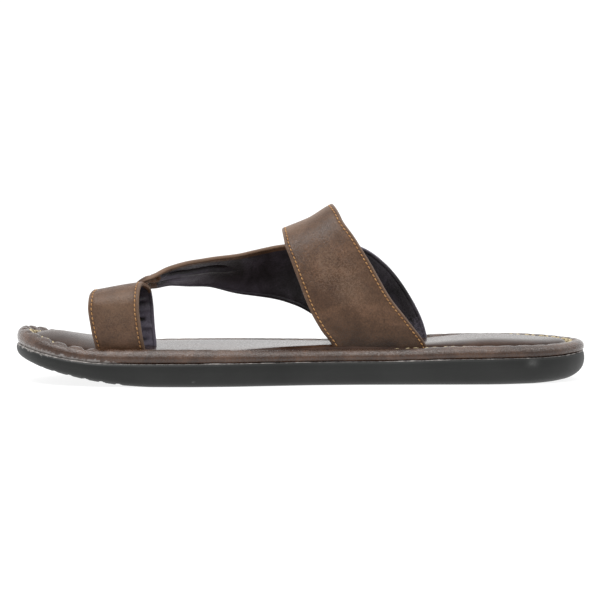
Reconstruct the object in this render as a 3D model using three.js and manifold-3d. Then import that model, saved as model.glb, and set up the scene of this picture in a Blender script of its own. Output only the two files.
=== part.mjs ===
import * as THREE from 'three';
import { mergeVertices } from 'three/addons/utils/BufferGeometryUtils.js';
import Module from 'manifold-3d';

const wasm = await Module();
wasm.setup();

// A toe-loop slide sandal for the right foot. Millimetres, toe to -X, big toe side to -Y, Z up.
// The origin is on the floor, under the middle of the sole.

// Driving dimensions of the sole
const soleLength = 285;
const ballWidth = 97;
const sideHeight = 11.5;
const toeSpring = 12;
const treadEdge = 5.5;
const grooveWidth = 2.6;
const grooveDepth = 1.4;
const groovePitch = 8.5;
const notchLength = 26;
const notchReach = 0.21;

// Driving dimensions of the padded rim and the footbed
const rimWidth = 7.5;
const rimHeight = 6.4;
const rimSetback = 0.7;
const footbedEdge = 4.6;
const footbedRound = 0.6;
const footbedCrown = 3.0;
const archRise = 3.2;

// Driving dimensions of the straps
const strapWall = 2.2;
const instepHeight = 75;
const toeLoopHeight = 37;

// The room left between two pieces that touch, how deep two straps sink into each other, and
// where round the last the instep strap climbs on to the strap below it
const clearance = 0.3;
const bond = 0.4;
const crossingStart = 0.56;
const crossingEnd = 0.68;

// How finely the curved forms are divided
const soleStations = 36;
const instepSteps = 34;
const diagonalSteps = 32;
const loopSteps = 26;
const strapLanes = 5;

// The plan outline: place along the sole from toe tip to heel end, and the distance of the
// big toe side and the little toe side from the centre line, as shares of half the ball width
const outline = [
  { along: 0.00, medial: -0.16, lateral: -0.16 },
  { along: 0.02, medial: -0.55, lateral: 0.23 },
  { along: 0.05, medial: -0.73, lateral: 0.42 },
  { along: 0.10, medial: -0.86, lateral: 0.62 },
  { along: 0.16, medial: -0.94, lateral: 0.78 },
  { along: 0.23, medial: -0.99, lateral: 0.90 },
  { along: 0.30, medial: -1.00, lateral: 0.98 },
  { along: 0.37, medial: -0.97, lateral: 1.00 },
  { along: 0.45, medial: -0.88, lateral: 0.97 },
  { along: 0.53, medial: -0.79, lateral: 0.91 },
  { along: 0.62, medial: -0.75, lateral: 0.85 },
  { along: 0.72, medial: -0.74, lateral: 0.79 },
  { along: 0.82, medial: -0.73, lateral: 0.76 },
  { along: 0.90, medial: -0.64, lateral: 0.67 },
  { along: 0.95, medial: -0.49, lateral: 0.53 },
  { along: 0.98, medial: -0.31, lateral: 0.35 },
  { along: 1.00, medial: 0.02, lateral: 0.02 },
];

// The side view of the sole: rise of the tread as a share of the toe spring, and the height of
// the side, the roundness of the tread's edge and the height of the rim as shares of their sizes
const sideView = [
  { along: 0.00, tread: 1.08, side: 0.54, edge: 0.90, rim: 1.40 },
  { along: 0.02, tread: 0.94, side: 0.55, edge: 0.90, rim: 1.36 },
  { along: 0.06, tread: 0.65, side: 0.62, edge: 0.90, rim: 1.22 },
  { along: 0.10, tread: 0.42, side: 0.69, edge: 0.95, rim: 1.10 },
  { along: 0.15, tread: 0.19, side: 0.80, edge: 1.00, rim: 1.02 },
  { along: 0.20, tread: 0.05, side: 0.93, edge: 1.00, rim: 1.00 },
  { along: 0.25, tread: 0.00, side: 0.98, edge: 1.00, rim: 1.00 },
  { along: 0.64, tread: 0.00, side: 1.01, edge: 1.00, rim: 1.00 },
  { along: 0.80, tread: 0.00, side: 1.10, edge: 1.05, rim: 0.98 },
  { along: 0.90, tread: 0.00, side: 1.12, edge: 1.25, rim: 0.96 },
  { along: 0.96, tread: 0.04, side: 1.12, edge: 1.60, rim: 0.94 },
  { along: 1.00, tread: 0.20, side: 1.06, edge: 1.80, rim: 0.88 },
];

// The moulded side of the outsole from tread to top: height as a share of the side, and how far
// it lies inside the outline as a share of the tread edge
const sideProfile = [
  { height: 0.00, inset: 1.00 },
  { height: 0.07, inset: 0.60 },
  { height: 0.20, inset: 0.26 },
  { height: 0.42, inset: 0.06 },
  { height: 0.68, inset: 0.00 },
  { height: 0.90, inset: 0.03 },
  { height: 1.00, inset: 0.11 },
];

// The padded rim from its foot outside, over the top, to its foot inside, as shares of its size
const rimProfile = [
  { inset: 0.12, height: 0.00 },
  { inset: 0.02, height: 0.22 },
  { inset: 0.00, height: 0.48 },
  { inset: 0.07, height: 0.76 },
  { inset: 0.24, height: 0.95 },
  { inset: 0.46, height: 1.00 },
  { inset: 0.72, height: 0.92 },
  { inset: 0.92, height: 0.74 },
  { inset: 1.00, height: 0.64 },
  { inset: 1.00, height: 0.00 },
];

// How far the padded footbed swells up inside its seam, as a share of its crown
const crownLine = [
  { along: 0.00, rise: 0.70 },
  { along: 0.10, rise: 0.75 },
  { along: 0.22, rise: 0.30 },
  { along: 0.45, rise: 0.20 },
  { along: 0.58, rise: 0.10 },
  { along: 0.68, rise: 0.22 },
  { along: 0.76, rise: 0.58 },
  { along: 0.84, rise: 1.00 },
  { along: 1.00, rise: 0.90 },
];

// The rise of the footbed's big toe side into the arch, as a share of the arch rise
const archLine = [
  { along: 0.36, rise: 0.00 },
  { along: 0.48, rise: 0.75 },
  { along: 0.58, rise: 1.00 },
  { along: 0.68, rise: 0.70 },
  { along: 0.80, rise: 0.00 },
];

// The last that the straps are shaped on: height of its ridge as a share of the toe loop's height
// plus a share of the instep height, place of the ridge across the foot, and how full each flank
// is (2 is an ellipse, 1 is straight)
const lastForm = [
  { along: 0.20, toe: 0.949, instep: 0.000, crest: 0.17, medialFull: 2.4, lateralFull: 1.10 },
  { along: 0.24, toe: 0.600, instep: 0.249, crest: 0.22, medialFull: 2.4, lateralFull: 1.15 },
  { along: 0.27, toe: 0.350, instep: 0.432, crest: 0.27, medialFull: 2.4, lateralFull: 1.35 },
  { along: 0.33, toe: 0.100, instep: 0.616, crest: 0.35, medialFull: 2.4, lateralFull: 1.75 },
  { along: 0.40, toe: 0.000, instep: 0.730, crest: 0.41, medialFull: 2.4, lateralFull: 2.10 },
  { along: 0.47, toe: 0.000, instep: 0.830, crest: 0.43, medialFull: 2.4, lateralFull: 2.40 },
  { along: 0.515, toe: 0.000, instep: 0.895, crest: 0.43, medialFull: 2.4, lateralFull: 2.45 },
  { along: 0.56, toe: 0.000, instep: 1.000, crest: 0.43, medialFull: 2.4, lateralFull: 2.50 },
  { along: 0.64, toe: 0.000, instep: 1.100, crest: 0.43, medialFull: 2.4, lateralFull: 2.50 },
  { along: 0.74, toe: 0.000, instep: 1.180, crest: 0.43, medialFull: 2.4, lateralFull: 2.50 },
];

// The wide instep strap: places of its two edges along the sole, at each place around the last
// from the big toe side (0) over the crest (0.5) to the little toe side (1)
const instepEdges = [
  { around: 0.000, front: 0.560, back: 0.726 },
  { around: 0.015, front: 0.555, back: 0.716 },
  { around: 0.050, front: 0.533, back: 0.687 },
  { around: 0.100, front: 0.513, back: 0.652 },
  { around: 0.165, front: 0.4975, back: 0.624 },
  { around: 0.245, front: 0.483, back: 0.596 },
  { around: 0.345, front: 0.471, back: 0.5705 },
  { around: 0.500, front: 0.467, back: 0.558 },
  { around: 0.655, front: 0.472, back: 0.564 },
  { around: 0.755, front: 0.484, back: 0.586 },
  { around: 0.835, front: 0.500, back: 0.614 },
  { around: 0.900, front: 0.520, back: 0.648 },
  { around: 0.950, front: 0.541, back: 0.681 },
  { around: 0.985, front: 0.555, back: 0.707 },
  { around: 1.000, front: 0.560, back: 0.718 },
];

// The strap from the toe loop to the little toe side: its upper and lower edge on the last
const diagonalEdges = [
  { step: 0, upperAlong: 0.210, upperAround: 0.500, lowerAlong: 0.220, lowerAround: 0.600 },
  { step: 1, upperAlong: 0.237, upperAround: 0.552, lowerAlong: 0.239, lowerAround: 0.642 },
  { step: 2, upperAlong: 0.266, upperAround: 0.563, lowerAlong: 0.268, lowerAround: 0.684 },
  { step: 3, upperAlong: 0.302, upperAround: 0.574, lowerAlong: 0.296, lowerAround: 0.722 },
  { step: 4, upperAlong: 0.336, upperAround: 0.600, lowerAlong: 0.332, lowerAround: 0.758 },
  { step: 5, upperAlong: 0.375, upperAround: 0.622, lowerAlong: 0.375, lowerAround: 0.810 },
  { step: 6, upperAlong: 0.420, upperAround: 0.651, lowerAlong: 0.420, lowerAround: 0.853 },
  { step: 7, upperAlong: 0.469, upperAround: 0.680, lowerAlong: 0.470, lowerAround: 0.894 },
  { step: 8, upperAlong: 0.535, upperAround: 0.745, lowerAlong: 0.500, lowerAround: 0.918 },
  { step: 9, upperAlong: 0.604, upperAround: 0.792, lowerAlong: 0.525, lowerAround: 0.943 },
  { step: 10, upperAlong: 0.651, upperAround: 0.849, lowerAlong: 0.545, lowerAround: 0.966 },
  { step: 11, upperAlong: 0.691, upperAround: 0.914, lowerAlong: 0.558, lowerAround: 0.982 },
  { step: 12, upperAlong: 0.720, upperAround: 0.970, lowerAlong: 0.566, lowerAround: 0.993 },
  { step: 13, upperAlong: 0.730, upperAround: 1.000, lowerAlong: 0.570, lowerAround: 1.000 },
];

// The loop round the big toe, from the rim over the toe and down between the toes: its two edges
// along the sole, its place across the footbed, and the rise of each edge as shares of its height
const loopEdges = [
  { step: 0, front: 0.149, rear: 0.233, across: 0.00, frontRise: 0.000, rearRise: 0.000 },
  { step: 1, front: 0.147, rear: 0.232, across: 0.00, frontRise: 0.160, rearRise: 0.160 },
  { step: 2, front: 0.139, rear: 0.226, across: -0.03, frontRise: 0.440, rearRise: 0.450 },
  { step: 3, front: 0.134, rear: 0.222, across: -0.03, frontRise: 0.700, rearRise: 0.740 },
  { step: 4, front: 0.135, rear: 0.223, across: 0.03, frontRise: 0.830, rearRise: 0.930 },
  { step: 5, front: 0.140, rear: 0.227, across: 0.14, frontRise: 0.875, rearRise: 1.000 },
  { step: 6, front: 0.148, rear: 0.238, across: 0.26, frontRise: 0.820, rearRise: 0.925 },
  { step: 7, front: 0.156, rear: 0.241, across: 0.34, frontRise: 0.650, rearRise: 0.750 },
  { step: 8, front: 0.164, rear: 0.243, across: 0.375, frontRise: 0.430, rearRise: 0.450 },
  { step: 9, front: 0.166, rear: 0.246, across: 0.38, frontRise: 0.160, rearRise: 0.160 },
  { step: 10, front: 0.166, rear: 0.246, across: 0.38, frontRise: 0.000, rearRise: 0.000 },
];

// The grooves across the tread: where they start and end, as shares of the length, and how far
// they stop inside the outline, in millimetres
const treadFields = [
  { from: 0.195, to: 0.425, inset: 9 },
  { from: 0.735, to: 0.945, inset: 10 },
];

const halfBall = ballWidth / 2;
const seamInset = rimSetback + rimWidth + clearance;

// The slope of a column between two rows of a table.
function secant(rows, key, column, index) {
  return (rows[index + 1][column] - rows[index][column]) / (rows[index + 1][key] - rows[index][key]);
}

// The slope at a row: level at a peak, else between the slopes on both sides.
function slopeAt(rows, key, column, index) {
  if (index === 0) return secant(rows, key, column, 0);
  if (index === rows.length - 1) return secant(rows, key, column, index - 1);
  const before = secant(rows, key, column, index - 1);
  const after = secant(rows, key, column, index);
  return before * after <= 0 ? 0 : (2 * before * after) / (before + after);
}

// A column of a table read at any place, on a smooth curve through its rows with no overshoot.
function read(rows, key, column, place) {
  let index = 0;
  while (index < rows.length - 2 && place > rows[index + 1][key]) index += 1;
  const span = rows[index + 1][key] - rows[index][key];
  const t = THREE.MathUtils.clamp((place - rows[index][key]) / span, 0, 1);
  const start = slopeAt(rows, key, column, index) * span;
  const end = slopeAt(rows, key, column, index + 1) * span;
  const from = rows[index][column];
  const rise = rows[index + 1][column] - from;
  return from + start * t + (3 * rise - 2 * start - end) * t * t + (start + end - 2 * rise) * t ** 3;
}

// The turn round the outline that belongs to a place along it, so that its ends come out round.
function turnOf(along) {
  return Math.acos(1 - 2 * THREE.MathUtils.clamp(along, 0, 1));
}

const outlineByTurn = outline.map((row) => ({ ...row, turn: turnOf(row.along) }));
const instepRows = instepEdges.map((row, step) => ({ ...row, step }));

// The distance of one side of the sole from its centre line.
function sideOf(column, along) {
  return halfBall * read(outlineByTurn, 'turn', column, turnOf(along));
}

// Half the difference between the two sides' reach, which centres the outline on the origin.
const [medialReach, lateralReach] = ['medial', 'lateral'].map(
  (column) => Math.max(...outline.map((row) => Math.abs(row[column]))),
);
const centreShift = (halfBall * (medialReach - lateralReach)) / 2;

function xOf(along) {
  return (along - 0.5) * soleLength;
}

function alongOf(x) {
  return x / soleLength + 0.5;
}

function treadRise(along) {
  return toeSpring * read(sideView, 'along', 'tread', along);
}

// The height of the outsole's top, where the rim and the footbed lie on it.
function soleTop(along) {
  return treadRise(along) + sideHeight * read(sideView, 'along', 'side', along);
}

// The plan points of the outline, down the big toe side and back up the little toe side.
function outlinePoints() {
  const turns = Array.from({ length: soleStations + 1 }, (_, k) => (Math.PI * k) / soleStations);
  const places = turns.map((turn) => (1 - Math.cos(turn)) / 2);
  const point = (column) => (along) => (
    new THREE.Vector2(xOf(along), sideOf(column, along) + centreShift)
  );
  const medial = places.map(point('medial'));
  const lateral = places.slice(1, -1).reverse().map(point('lateral'));
  return [...medial, ...lateral];
}

const planOutline = outlinePoints();

// The spine point that an outline point faces: both sides' points at one place share it.
function spinePoint(index) {
  const count = planOutline.length;
  const here = planOutline[index];
  const opposite = planOutline[(count - index) % count];
  const pull = 0.84;
  return new THREE.Vector2(here.x * pull, (here.y + opposite.y) / 2);
}

// The outline moved inwards by an inset, then drawn towards the spine by a share.
function planRing(insetAt, shrink) {
  const count = planOutline.length;
  return planOutline.map((point, index) => {
    const before = planOutline[(index + count - 1) % count];
    const after = planOutline[(index + 1) % count];
    const inward = new THREE.Vector2(before.y - after.y, after.x - before.x).normalize();
    const moved = point.clone().addScaledVector(inward, insetAt(alongOf(point.x)));
    return moved.lerp(spinePoint(index), shrink);
  });
}

// A ring of points in space: a plan ring with a height for each point.
function ringAt(insetAt, shrink, heightAt) {
  const height = (p) => heightAt(alongOf(p.x), p.y);
  return planRing(insetAt, shrink).map((p) => new THREE.Vector3(p.x, p.y, height(p)));
}

// The faces between rings of points, each joined to the next, and the last to the first if closed.
function ringFaces(rings, closed) {
  const count = rings[0].length;
  const faces = [];
  const bands = closed ? rings.length : rings.length - 1;
  for (let band = 0; band < bands; band += 1) {
    const low = band * count;
    const high = ((band + 1) % rings.length) * count;
    for (let i = 0; i < count; i += 1) {
      const next = (i + 1) % count;
      faces.push([low + i, low + next, high + next], [low + i, high + next, high + i]);
    }
  }
  return faces;
}

// One closed body from points and faces, with points that coincide made one.
function bodyOf(points, faces) {
  const geometry = new THREE.BufferGeometry();
  const coordinates = points.flatMap((p) => p.toArray());
  geometry.setAttribute('position', new THREE.Float32BufferAttribute(coordinates, 3));
  geometry.setIndex(faces.flat());
  const merged = mergeVertices(geometry, 1e-4);
  const index = Array.from(merged.index.array);
  const kept = [];
  for (let i = 0; i < index.length; i += 3) {
    const [a, b, c] = index.slice(i, i + 3);
    if (a !== b && b !== c && c !== a) kept.push(a, b, c);
  }
  merged.setIndex(kept);
  return merged;
}

function toSolid(geometry) {
  const bare = geometry.clone();
  bare.deleteAttribute('normal');
  bare.deleteAttribute('uv');
  const merged = mergeVertices(bare, 1e-4);
  return new wasm.Manifold(new wasm.Mesh({
    numProp: 3,
    vertProperties: new Float32Array(merged.attributes.position.array),
    triVerts: new Uint32Array(merged.index.array),
  }));
}

function toGeometry(solid) {
  const mesh = solid.getMesh();
  const geometry = new THREE.BufferGeometry();
  geometry.setAttribute('position', new THREE.BufferAttribute(mesh.vertProperties, 3));
  geometry.setIndex(new THREE.BufferAttribute(mesh.triVerts, 1));
  return geometry;
}

// The outsole before its tread is cut: spine and tread, up the moulded side, and the flat top.
function outsoleBlank() {
  const edgeAt = (along) => treadEdge * read(sideView, 'along', 'edge', along);
  const topInset = sideProfile[sideProfile.length - 1].inset;
  const sides = sideProfile.map(({ height, inset }) => ringAt(
    (along) => inset * edgeAt(along),
    0,
    (along) => THREE.MathUtils.lerp(treadRise(along), soleTop(along), height),
  ));
  const tread = [1, 0.6, 0.25].map((shrink) => ringAt(edgeAt, shrink, treadRise));
  const top = [0.5, 1].map((shrink) => ringAt((along) => topInset * edgeAt(along), shrink, soleTop));
  const rings = [...tread, ...sides, ...top];
  return bodyOf(rings.flat(), ringFaces(rings, false));
}

// A groove in the tread that is `length` long, turned in plan, square to the tread where it lies.
function treadGroove({ x, y, length, turn = 0 }) {
  const along = alongOf(x);
  const groove = new THREE.BoxGeometry(grooveWidth, length, grooveDepth * 2);
  const step = 0.5 / soleLength;
  const slope = (treadRise(along + step) - treadRise(along - step)) / (2 * step * soleLength);
  groove.rotateZ(turn);
  groove.rotateY(-Math.atan(slope));
  groove.translate(x, y, treadRise(along));
  return groove;
}

// The grooves straight across the ball and the heel.
function crossGrooves() {
  const step = groovePitch / soleLength;
  return treadFields.flatMap(({ from, to, inset }) => {
    const count = Math.floor((to - from) / step) + 1;
    return Array.from({ length: count }, (_, i) => {
      const along = from + i * step;
      const medial = sideOf('medial', along) + centreShift + inset;
      const lateral = sideOf('lateral', along) + centreShift - inset;
      return { x: xOf(along), y: (medial + lateral) / 2, length: lateral - medial };
    });
  });
}

// The notches round the toe: evenly spaced along the outline, square to it, and open at the edge.
function toeNotches() {
  const count = planOutline.length;
  const notches = [];
  let run = 0;
  for (let i = -soleStations; i < soleStations; i += 1) {
    const here = planOutline[(i + count) % count];
    const next = planOutline[(i + 1 + count) % count];
    run += here.distanceTo(next);
    const middle = here.clone().lerp(next, 0.5);
    if (run >= groovePitch && alongOf(middle.x) < notchReach) {
      const way = next.clone().sub(here);
      notches.push({ x: middle.x, y: middle.y, length: notchLength, turn: way.angle() });
      run = 0;
    }
  }
  return notches;
}

function outsoleForm() {
  const grooves = [...crossGrooves(), ...toeNotches()].map((place) => toSolid(treadGroove(place)));
  return toGeometry(grooves.reduce((sole, groove) => sole.subtract(groove), toSolid(outsoleBlank())));
}

// The padded rim, a soft roll that runs all the way round on top of the outsole.
function rimForm() {
  const rings = rimProfile.map(({ inset, height }) => ringAt(
    () => rimSetback + inset * rimWidth,
    0,
    (along) => soleTop(along) + clearance + height * rimHeight * read(sideView, 'along', 'rim', along),
  ));
  return bodyOf(rings.flat(), ringFaces(rings, true));
}

// The footbed's top at its seam with the rim, raised at the big toe side into the arch.
function footbedSeam(along, y) {
  const medial = sideOf('medial', along) + centreShift + seamInset;
  const lateral = sideOf('lateral', along) + centreShift - seamInset;
  const across = THREE.MathUtils.clamp((y - medial) / (lateral - medial), 0, 1);
  const arch = archRise * read(archLine, 'along', 'rise', along) * (1 - across) ** 2;
  const edge = footbedEdge * read(sideView, 'along', 'rim', along);
  return soleTop(along) + clearance + edge + arch;
}

// The footbed's top at a share of the way from its seam to the spine, where it swells to its crown.
function footbedTop(shrink) {
  const swell = footbedCrown * (1 - (1 - shrink) ** 4);
  return (along, y) => footbedSeam(along, y) + swell * read(crownLine, 'along', 'rise', along);
}

function footbedBlank() {
  const inset = () => seamInset;
  const floor = (along) => soleTop(along) + clearance;
  const rings = [
    ...[1, 0.4].map((shrink) => ringAt(inset, shrink, floor)),
    ringAt(inset, 0, floor),
    ringAt(inset, 0, (along, y) => footbedSeam(along, y) - footbedRound),
    ringAt(() => seamInset + footbedRound, 0, footbedSeam),
    ...[0.07, 0.16, 0.29, 0.46, 0.7, 1].map((shrink) => ringAt(inset, shrink, footbedTop(shrink))),
  ];
  return bodyOf(rings.flat(), ringFaces(rings, false));
}

// The line inside the rim where a strap goes down, for one side of the sole. Its distance from
// the outline is taken square to the outline.
function seatLine(column, along, inset) {
  const step = 0.01;
  const run = 2 * step * soleLength;
  const slope = (sideOf(column, along + step) - sideOf(column, along - step)) / run;
  const sign = column === 'medial' ? 1 : -1;
  return sideOf(column, along) + centreShift + sign * inset * Math.hypot(1, slope);
}

function medialSeat(along) {
  return seatLine('medial', along, seamInset + strapWall);
}

function lateralSeat(along) {
  return seatLine('lateral', along, seamInset + 2 * strapWall - bond);
}

// A point on the last, whose section at each place is two part-ellipses that meet at its ridge.
function lastPoint(along, around) {
  const turn = Math.PI * THREE.MathUtils.clamp(around, 0, 1);
  const medialFlank = around < 0.5;
  const full = read(lastForm, 'along', medialFlank ? 'medialFull' : 'lateralFull', along);
  const crest = read(lastForm, 'along', 'crest', along);
  const out = Math.abs(Math.cos(turn)) ** (2 / full);
  const rise = Math.max(Math.sin(turn), 0) ** (2 / full);
  const across = medialFlank ? crest * (1 - out) : crest + (1 - crest) * out;
  const toe = toeLoopHeight * read(lastForm, 'along', 'toe', along);
  const instep = instepHeight * read(lastForm, 'along', 'instep', along);
  return new THREE.Vector3(
    xOf(along),
    THREE.MathUtils.lerp(medialSeat(along), lateralSeat(along), across),
    soleTop(along) + clearance + rise * (toe + instep),
  );
}

// The outward normal of a surface given by two parameters.
function normalOf(surface, u, v) {
  const step = 0.004;
  const lowU = Math.max(u - step, 0);
  const highU = Math.min(u + step, 1);
  const alongU = surface(highU, v).sub(surface(lowU, v));
  const alongV = surface(u, v + step).sub(surface(u, v - step));
  return alongV.cross(alongU).normalize();
}

// The place round the last that a share of the instep strap's length has reached.
function instepAround(u) {
  return read(instepRows, 'step', 'around', u * (instepRows.length - 1));
}

// The instep strap's inner face: u goes round the last and v from its front to its back edge.
function instepSurface(u, v) {
  const around = instepAround(u);
  const front = read(instepEdges, 'around', 'front', around);
  const back = read(instepEdges, 'around', 'back', around);
  return lastPoint(THREE.MathUtils.lerp(front, back, v), around);
}

// The diagonal strap's inner face: u goes from the toe loop to the rim, v from lower to upper edge.
function diagonalSurface(u, v) {
  const step = u * (diagonalEdges.length - 1);
  const value = (column) => read(diagonalEdges, 'step', column, step);
  const along = THREE.MathUtils.lerp(value('lowerAlong'), value('upperAlong'), v);
  const around = THREE.MathUtils.lerp(value('lowerAround'), value('upperAround'), v);
  return lastPoint(along, around);
}

// The toe loop's inner face: u goes over the toe and down between the toes, v from front to rear.
function loopSurface(u, v) {
  const step = u * (loopEdges.length - 1);
  const value = (column) => read(loopEdges, 'step', column, step);
  const along = THREE.MathUtils.lerp(value('front'), value('rear'), v);
  const rise = THREE.MathUtils.lerp(value('frontRise'), value('rearRise'), v);
  return new THREE.Vector3(
    xOf(along),
    THREE.MathUtils.lerp(medialSeat(along), lateralSeat(along), value('across')),
    soleTop(along) + clearance + rise * toeLoopHeight,
  );
}

// One section of a strap: its outer lane, rounded edge, inner lane and other rounded edge.
function strapSection(surface, u, lift, grow) {
  const width = surface(u, 0).distanceTo(surface(u, 1));
  const edge = strapWall / 2 / width;
  const margin = grow / width;
  const start = edge - margin;
  const step = (1 - 2 * start) / strapLanes;
  const lanes = Array.from({ length: strapLanes + 1 }, (_, i) => start + i * step);
  const at = (v, height) => surface(u, v).addScaledVector(normalOf(surface, u, v), height);
  const outer = lanes.map((v) => at(v, lift + strapWall + grow));
  const inner = lanes.map((v) => at(v, lift - grow)).reverse();
  const half = lift + strapWall / 2;
  return [...outer, at(1 + margin, half), ...inner, at(-margin, half)];
}

// The faces that close one end of a strap, lane by lane.
function capFaces(first, flip) {
  const lanes = strapLanes + 1;
  const outer = (i) => first + i;
  const inner = (i) => first + 2 * lanes - i;
  const faces = [
    [outer(strapLanes), first + lanes, inner(strapLanes)],
    [inner(0), first + 2 * lanes + 1, outer(0)],
  ];
  for (let i = 0; i < strapLanes; i += 1) {
    faces.push([outer(i), outer(i + 1), inner(i + 1)], [outer(i), inner(i + 1), inner(i)]);
  }
  return flip ? faces.map(([a, b, c]) => [a, c, b]) : faces;
}

// A strap with its wall on the outer side of its surface. Growing it makes the slot that it needs.
function strapBody(surface, steps, { liftAt = () => 0, grow = 0, below = 0 } = {}) {
  const places = Array.from({ length: steps + 1 }, (_, i) => i / steps);
  const rings = places.map((u) => strapSection(surface, u, liftAt(u), grow));
  const drop = new THREE.Vector3(0, 0, -below);
  if (below > 0) {
    rings.unshift(rings[0].map((p) => p.clone().add(drop)));
    rings.push(rings[rings.length - 1].map((p) => p.clone().add(drop)));
  }
  const count = rings[0].length;
  const faces = [
    ...ringFaces(rings, false),
    ...capFaces(0, true),
    ...capFaces((rings.length - 1) * count, false),
  ];
  return bodyOf(rings.flat(), faces);
}

// The instep strap lies on the last at the big toe side and on the diagonal strap beyond the crest.
function instepLift(u) {
  return (strapWall - bond) * THREE.MathUtils.smoothstep(instepAround(u), crossingStart, crossingEnd);
}

const strapParts = [
  { surface: instepSurface, steps: instepSteps, liftAt: instepLift },
  { surface: diagonalSurface, steps: diagonalSteps },
  { surface: loopSurface, steps: loopSteps },
];

// The upper: both straps and the toe loop joined where they cross and meet.
function upperForm() {
  const straps = strapParts.map(({ surface, steps, liftAt }) => (
    toSolid(strapBody(surface, steps, { liftAt }))
  ));
  return toGeometry(straps.reduce((whole, strap) => whole.add(strap)));
}

// The footbed with the slots that the straps go down through.
function footbedForm() {
  const slots = strapParts.map(({ surface, steps, liftAt }) => (
    toSolid(strapBody(surface, steps, { liftAt, grow: clearance, below: footbedEdge }))
  ));
  return toGeometry(slots.reduce((bed, slot) => bed.subtract(slot), toSolid(footbedBlank())));
}

function finish(color, roughness) {
  return new THREE.MeshStandardMaterial({ color, roughness, metalness: 0 });
}

function piece(name, geometry, material) {
  const mesh = new THREE.Mesh(geometry, material);
  mesh.name = name;
  return mesh;
}

const sandal = new THREE.Group();
sandal.add(
  piece('outsole', outsoleForm(), finish('#3a3c3b', 0.7)),
  piece('rim', rimForm(), finish('#5a4639', 0.5)),
  piece('footbed', footbedForm(), finish('#4a3a31', 0.3)),
  piece('upper', upperForm(), finish('#5e493c', 0.5)),
);

export default sandal;
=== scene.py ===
import math

import bpy
import numpy as np
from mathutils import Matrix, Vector


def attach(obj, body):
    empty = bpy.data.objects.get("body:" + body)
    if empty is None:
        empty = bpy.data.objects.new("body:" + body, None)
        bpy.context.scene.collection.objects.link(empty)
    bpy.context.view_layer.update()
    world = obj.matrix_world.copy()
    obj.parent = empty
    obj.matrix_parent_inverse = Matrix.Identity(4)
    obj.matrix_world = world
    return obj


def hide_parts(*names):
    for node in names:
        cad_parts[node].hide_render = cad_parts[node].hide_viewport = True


# A toe-loop slide sandal for the right foot, seen from its big toe side with the toe to the left.
# Shapes are worked out in millimetres in the frame of the CAD model, and become metres in meshes.
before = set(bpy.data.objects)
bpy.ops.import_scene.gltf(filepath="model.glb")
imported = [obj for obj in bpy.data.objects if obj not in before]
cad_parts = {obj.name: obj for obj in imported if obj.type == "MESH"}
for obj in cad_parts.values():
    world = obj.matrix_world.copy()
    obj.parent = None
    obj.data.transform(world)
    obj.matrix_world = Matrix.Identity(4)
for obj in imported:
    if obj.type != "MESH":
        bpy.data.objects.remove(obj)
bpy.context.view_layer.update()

# The view: a product photograph taken from the big toe side, hardly above the sole, with a long
# lens, so the footbed shows as a thin bright band.
view_elevation = math.radians(3.9)
view_distance = 1.300
view_aim = Vector((-0.0008, 0.0, 0.0397))
view_line = Vector((0.0, math.cos(view_elevation), -math.sin(view_elevation)))
camera_data = bpy.data.cameras.new("camera")
camera_data.sensor_width = 36.0
camera_data.lens = 155.0
camera = bpy.data.objects.new("camera", camera_data)
camera.location = view_aim - view_line * view_distance
camera.rotation_euler = view_line.to_track_quat("-Z", "Y").to_euler()
bpy.context.scene.collection.objects.link(camera)
bpy.context.scene.camera = camera


# The outsole: one unit of charcoal foamed polyurethane, poured in a mould. Its side is smooth and
# rounded, the toe springs up, notches run out round the toe and grooves cross the ball and heel.
sole_length = 285.0
half_ball = 48.5
side_height = 11.5
toe_spring = 12.0
tread_edge = 5.5
# Tables are read from 0 at the toe to 1 at the heel. The outline's two sides are shares of
# half_ball, and the side view's columns are shares of the spring, side, edge and rim.
outline = {
    "along": [0, .02, .05, .10, .16, .23, .30, .37, .45, .53, .62, .72, .82, .90, .95, .98, 1],
    "medial": [-.16, -.55, -.73, -.86, -.94, -.99, -1, -.97, -.88, -.79, -.75, -.74, -.73, -.64,
               -.49, -.31, .02],
    "lateral": [-.16, .23, .42, .62, .78, .90, .98, 1, .97, .91, .85, .79, .76, .67, .53, .35, .02],
}
side_view = {
    "along": [0, .02, .06, .10, .15, .20, .25, .64, .80, .90, .96, 1],
    "tread": [1.08, .94, .65, .42, .19, .05, 0, 0, 0, 0, .04, .20],
    "side": [.54, .55, .62, .69, .80, .93, .98, 1.01, 1.10, 1.12, 1.12, 1.06],
    "edge": [.90, .90, .90, .95, 1, 1, 1, 1, 1.05, 1.25, 1.60, 1.80],
    "rim": [1.40, 1.36, 1.22, 1.10, 1.02, 1, 1, 1, .98, .96, .94, .88],
}
moulded_side = {
    "step": [0, 1, 2, 3, 4, 5, 6],
    "height": [0, .07, .20, .42, .68, .90, 1],
    "inset": [1, .60, .26, .06, 0, .03, .11],
}
stations = 480
ring_count = 2 * stations
side_rows = 30
tread_columns = 40
lid_columns = 4
groove_pitch = 8.5
groove_half = 1.3
groove_depth = 1.4
groove_slope = 0.4
groove_end_slope = 0.8
# Fields of cross grooves: where each starts and ends along the sole, and its room from the edge.
cross_fields = [(0.195, 0.425, 9.0), (0.735, 0.945, 10.0)]
notch_reach = 0.21
notch_length = 13.0
notch_slopes = (0.5, 0.6)
notch_share = 0.55
cement_retreat = 3.0
near_side = -20.0
# Scuffs on the near side: place along and up, reach along and up in millimetres, and strength.
side_scuffs = [(113.8, 10.8, 2.6, 1.8, 0.45), (-52.5, 2.9, 0.5, 0.4, 1.0)]


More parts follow.
